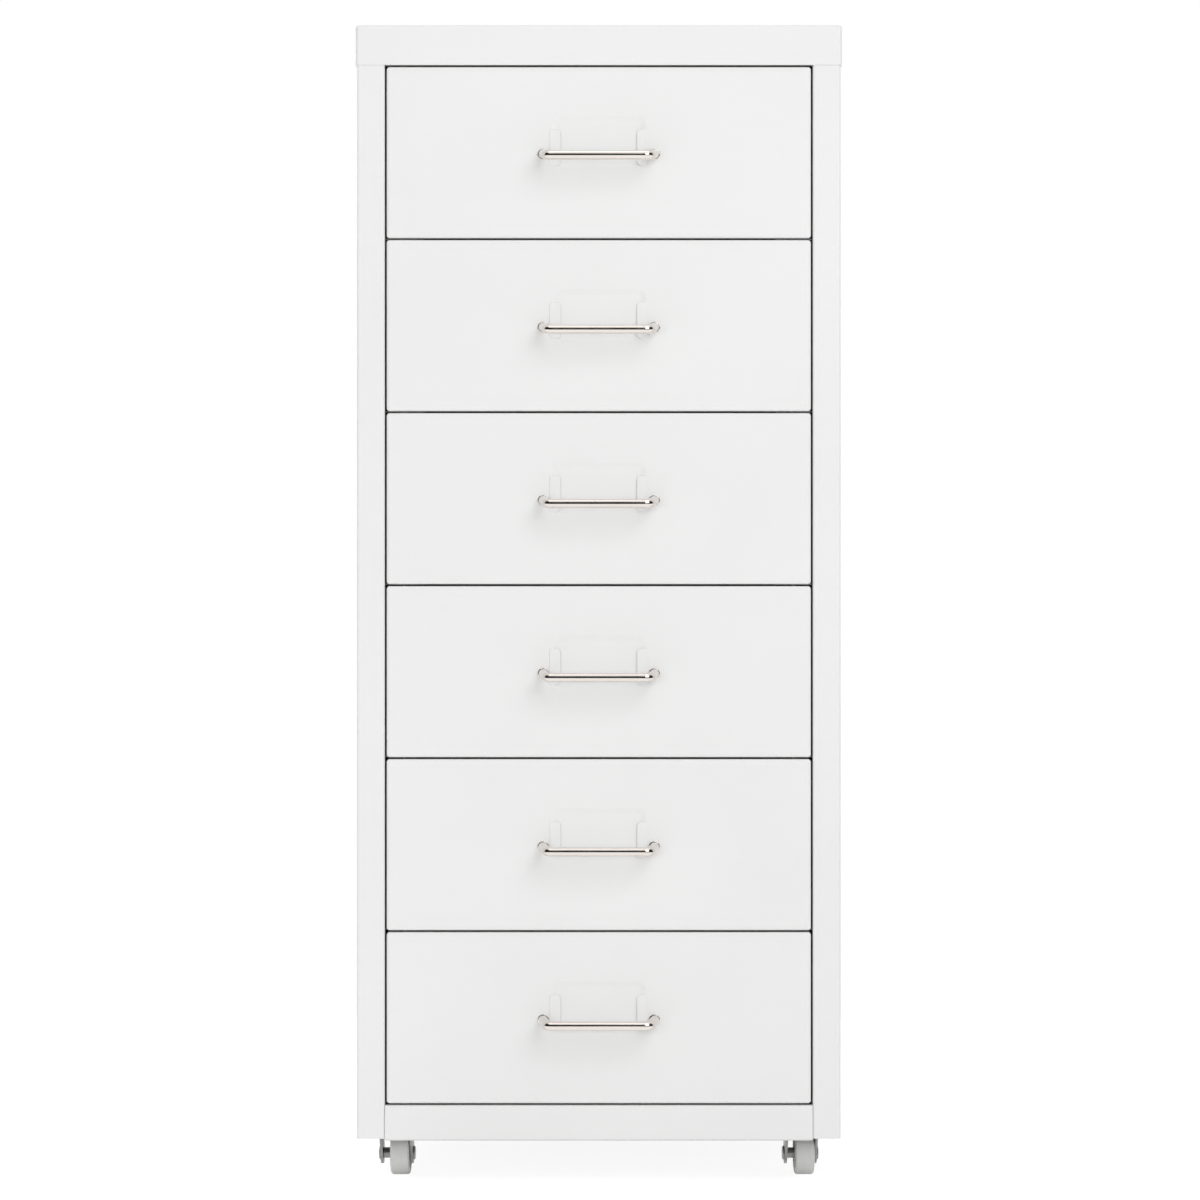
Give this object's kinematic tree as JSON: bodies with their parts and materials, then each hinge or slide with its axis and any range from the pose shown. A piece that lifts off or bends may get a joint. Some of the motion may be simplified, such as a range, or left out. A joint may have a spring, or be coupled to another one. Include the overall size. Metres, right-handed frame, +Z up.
{
  "type": "mobile drawer cabinet",
  "caption": "Narrow white steel drawer cabinet on swivel castors, with a stack of equal sliding drawers, bent wire handles and pressed label holders.",
  "frame": {"origin": "on the floor, under the middle of the bounding box", "axes": "+Z up, the drawers open towards -Y, +X to the right seen from the front"},
  "size_m": [0.28, 0.41, 0.6661],
  "materials": {
    "powder_coat": "satin white powder coat",
    "nickel": "bright nickel plate",
    "zinc_steel": "zinc plated",
    "wheel_plastic": "matte grey"
  },
  "bodies": {
    "cabinet": {"top_panel": "powder_coat", "left_side_panel": "powder_coat", "right_side_panel": "powder_coat", "back_panel": "powder_coat", "bottom_panel": "powder_coat", "left_runners": "powder_coat", "right_runners": "powder_coat", "back_screws": "zinc_steel", "castor_bolts": "zinc_steel", "castor_nuts": "zinc_steel", "castor_kingpins": "zinc_steel", "castor_balls": "zinc_steel", "castor_plate_front_left": "zinc_steel", "castor_plate_front_right": "zinc_steel", "castor_plate_rear_left": "zinc_steel", "castor_plate_rear_right": "zinc_steel"},
    "drawer_1": {"drawer_front_1": "powder_coat", "drawer_tray_1": "powder_coat", "handle_1": "nickel", "handle_clips_1": "zinc_steel"},
    "drawer_2": {"drawer_front_2": "powder_coat", "drawer_tray_2": "powder_coat", "handle_2": "nickel", "handle_clips_2": "zinc_steel"},
    "drawer_3": {"drawer_front_3": "powder_coat", "drawer_tray_3": "powder_coat", "handle_3": "nickel", "handle_clips_3": "zinc_steel"},
    "drawer_4": {"drawer_front_4": "powder_coat", "drawer_tray_4": "powder_coat", "handle_4": "nickel", "handle_clips_4": "zinc_steel"},
    "drawer_5": {"drawer_front_5": "powder_coat", "drawer_tray_5": "powder_coat", "handle_5": "nickel", "handle_clips_5": "zinc_steel"},
    "drawer_6": {"drawer_front_6": "powder_coat", "drawer_tray_6": "powder_coat", "handle_6": "nickel", "handle_clips_6": "zinc_steel"},
    "castor_fork_front_left": {"castor_fork_front_left": "zinc_steel", "castor_axle_front_left": "zinc_steel", "axle_spacer_front_left": "zinc_steel"},
    "castor_wheel_front_left": {"castor_wheel_front_left": "wheel_plastic"},
    "castor_fork_front_right": {"castor_fork_front_right": "zinc_steel", "castor_axle_front_right": "zinc_steel", "axle_spacer_front_right": "zinc_steel"},
    "castor_wheel_front_right": {"castor_wheel_front_right": "wheel_plastic"},
    "castor_fork_rear_left": {"castor_fork_rear_left": "zinc_steel", "castor_axle_rear_left": "zinc_steel", "axle_spacer_rear_left": "zinc_steel"},
    "castor_wheel_rear_left": {"castor_wheel_rear_left": "wheel_plastic"},
    "castor_fork_rear_right": {"castor_fork_rear_right": "zinc_steel", "castor_axle_rear_right": "zinc_steel", "axle_spacer_rear_right": "zinc_steel"},
    "castor_wheel_rear_right": {"castor_wheel_rear_right": "wheel_plastic"}
  },
  "joints": [
    {"name": "drawer_1_slide", "type": "slide", "parent": "cabinet", "child": "drawer_1", "axis": [0, -1, 0], "range_m": [0, 0.29]},
    {"name": "drawer_2_slide", "type": "slide", "parent": "cabinet", "child": "drawer_2", "axis": [0, -1, 0], "range_m": [0, 0.29]},
    {"name": "drawer_3_slide", "type": "slide", "parent": "cabinet", "child": "drawer_3", "axis": [0, -1, 0], "range_m": [0, 0.29]},
    {"name": "drawer_4_slide", "type": "slide", "parent": "cabinet", "child": "drawer_4", "axis": [0, -1, 0], "range_m": [0, 0.29]},
    {"name": "drawer_5_slide", "type": "slide", "parent": "cabinet", "child": "drawer_5", "axis": [0, -1, 0], "range_m": [0, 0.29]},
    {"name": "drawer_6_slide", "type": "slide", "parent": "cabinet", "child": "drawer_6", "axis": [0, -1, 0], "range_m": [0, 0.29]},
    {"name": "castor_front_left_swivel", "type": "hinge", "parent": "cabinet", "child": "castor_fork_front_left", "pos_m": [-0.118, -0.1465, 0.0315], "axis": [0, 0, 1], "continuous": true},
    {"name": "castor_front_left_spin", "type": "hinge", "parent": "castor_fork_front_left", "child": "castor_wheel_front_left", "pos_m": [-0.11753, -0.13751, 0.0125], "axis": [0.9986, -0.0523, 0], "continuous": true},
    {"name": "castor_front_right_swivel", "type": "hinge", "parent": "cabinet", "child": "castor_fork_front_right", "pos_m": [0.118, -0.1465, 0.0315], "axis": [0, 0, 1], "continuous": true},
    {"name": "castor_front_right_spin", "type": "hinge", "parent": "castor_fork_front_right", "child": "castor_wheel_front_right", "pos_m": [0.11753, -0.13751, 0.0125], "axis": [0.9986, 0.0523, 0], "continuous": true},
    {"name": "castor_rear_left_swivel", "type": "hinge", "parent": "cabinet", "child": "castor_fork_rear_left", "pos_m": [-0.118, 0.1585, 0.0315], "axis": [0, 0, 1], "continuous": true},
    {"name": "castor_rear_left_spin", "type": "hinge", "parent": "castor_fork_rear_left", "child": "castor_wheel_rear_left", "pos_m": [-0.11753, 0.16749, 0.0125], "axis": [0.9986, -0.0523, 0], "continuous": true},
    {"name": "castor_rear_right_swivel", "type": "hinge", "parent": "cabinet", "child": "castor_fork_rear_right", "pos_m": [0.118, 0.1585, 0.0315], "axis": [0, 0, 1], "continuous": true},
    {"name": "castor_rear_right_spin", "type": "hinge", "parent": "castor_fork_rear_right", "child": "castor_wheel_rear_right", "pos_m": [0.11753, 0.16749, 0.0125], "axis": [0.9986, 0.0523, 0], "continuous": true}
  ]
}
